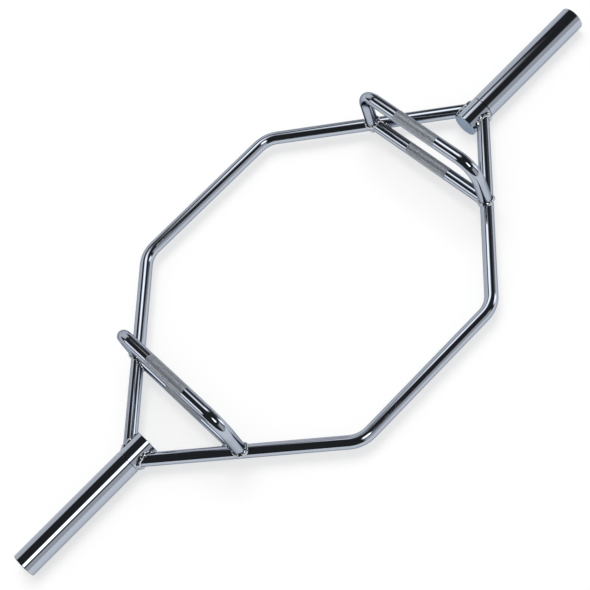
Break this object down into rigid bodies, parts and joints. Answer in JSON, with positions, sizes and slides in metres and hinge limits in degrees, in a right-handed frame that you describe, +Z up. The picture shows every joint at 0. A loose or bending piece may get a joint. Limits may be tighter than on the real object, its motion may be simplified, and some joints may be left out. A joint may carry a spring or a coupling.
{
  "type": "hex trap bar",
  "caption": "Hexagonal trap bar of bent chromed round bar, with flush and raised knurled handles and turning sleeves that carry weight plates.",
  "frame": {"origin": "on the floor under the middle of the bar, at the height of the lowest line of the sleeves", "axes": "+X along the sleeves to the right, +Y to the rear across the bar, +Z up"},
  "size_m": [1.488, 0.6474, 0.1485],
  "materials": {
    "bar_chrome": "polished",
    "sleeve_chrome": "polished",
    "weld_chrome": "gloss",
    "spindle_steel": "satin",
    "plated_steel": "satin",
    "black_spring_steel": "satin",
    "bushing_bronze": "satin",
    "label_foil": "satin"
  },
  "bodies": {
    "frame": {"front_rail": "bar_chrome", "rear_rail": "bar_chrome", "hub_welds": "weld_chrome", "handle_welds": "weld_chrome", "left_hub": "sleeve_chrome", "left_flush_handle": "bar_chrome", "left_raised_handle": "bar_chrome", "left_spindle": "spindle_steel", "left_spindle_washer": "plated_steel", "left_spindle_clip": "black_spring_steel", "right_hub": "sleeve_chrome", "right_flush_handle": "bar_chrome", "right_raised_handle": "bar_chrome", "right_spindle": "spindle_steel", "right_spindle_washer": "plated_steel", "right_spindle_clip": "black_spring_steel"},
    "left_sleeve": {"left_sleeve_tube": "sleeve_chrome", "left_inner_bushing": "bushing_bronze", "left_outer_bushing": "bushing_bronze", "left_end_plate": "plated_steel", "left_end_label": "label_foil", "left_end_clip": "black_spring_steel"},
    "right_sleeve": {"right_sleeve_tube": "sleeve_chrome", "right_inner_bushing": "bushing_bronze", "right_outer_bushing": "bushing_bronze", "right_end_plate": "plated_steel", "right_end_label": "label_foil", "right_end_clip": "black_spring_steel"}
  },
  "joints": [
    {"name": "left_sleeve_spin", "type": "hinge", "parent": "frame", "child": "left_sleeve", "pos_m": [-0.612, 0, 0.025], "axis": [1, 0, 0], "continuous": true},
    {"name": "right_sleeve_spin", "type": "hinge", "parent": "frame", "child": "right_sleeve", "pos_m": [0.612, 0, 0.025], "axis": [1, 0, 0], "continuous": true}
  ]
}
